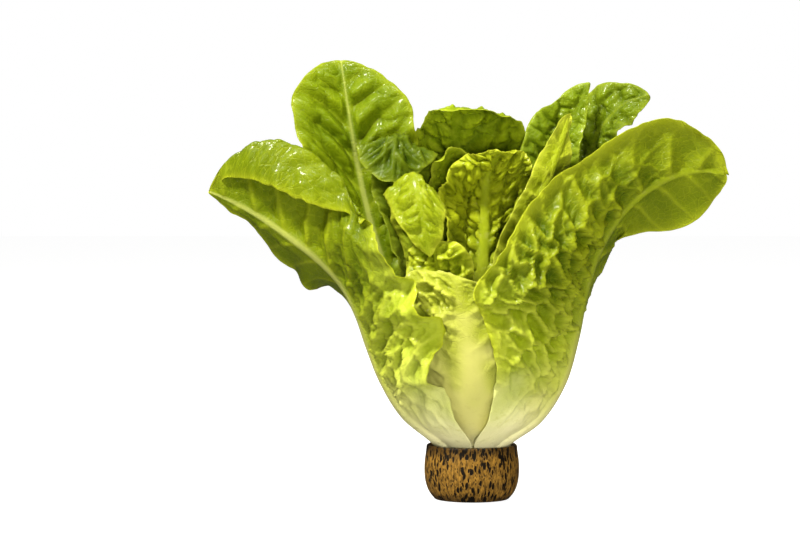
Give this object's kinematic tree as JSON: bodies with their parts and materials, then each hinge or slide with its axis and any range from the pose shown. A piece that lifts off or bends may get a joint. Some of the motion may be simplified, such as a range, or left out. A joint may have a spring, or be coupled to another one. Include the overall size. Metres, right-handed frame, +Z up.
{
  "type": "romaine lettuce head",
  "caption": "Open head of romaine lettuce with broad blistered leaves round a short stem, standing in the hollow of a small turned palm-wood cup.",
  "frame": {"origin": "middle of the cup's flat foot, on the surface it stands on", "axes": "+Z up along the stem; +X to the viewer's right and across the widest spread of the leaves; the front of the head faces -Y"},
  "size_m": [0.3332, 0.2025, 0.2871],
  "materials": {
    "palm_wood": "turned palm wood, orange-brown with dense short dark upright flecks, waxed",
    "stem": "cut lettuce stem, cream-white and moist",
    "front_leaf": "living leaf, broad whitish rib fading to yellow-green",
    "outer_leaf": "living leaf, mid green with pale veins, blistered, softly glossy",
    "inner_leaf": "living leaf, bright yellow-green with a green rib, blistered, glossy"
  },
  "bodies": {
    "root": {"cup": "palm_wood", "stem": "stem", "outer_right": "outer_leaf", "outer_left": "outer_leaf", "front": "front_leaf", "back": "outer_leaf", "back_left": "outer_leaf", "back_right": "outer_leaf", "upper_left": "outer_leaf", "right_back": "outer_leaf", "back_dome": "outer_leaf", "right_peak": "outer_leaf", "folded_left": "inner_leaf", "nodding_left": "inner_leaf", "inner_right": "inner_leaf", "centre": "inner_leaf", "inner_front": "inner_leaf", "inner_back": "inner_leaf", "inner_left": "inner_leaf"}
  },
  "joints": []
}
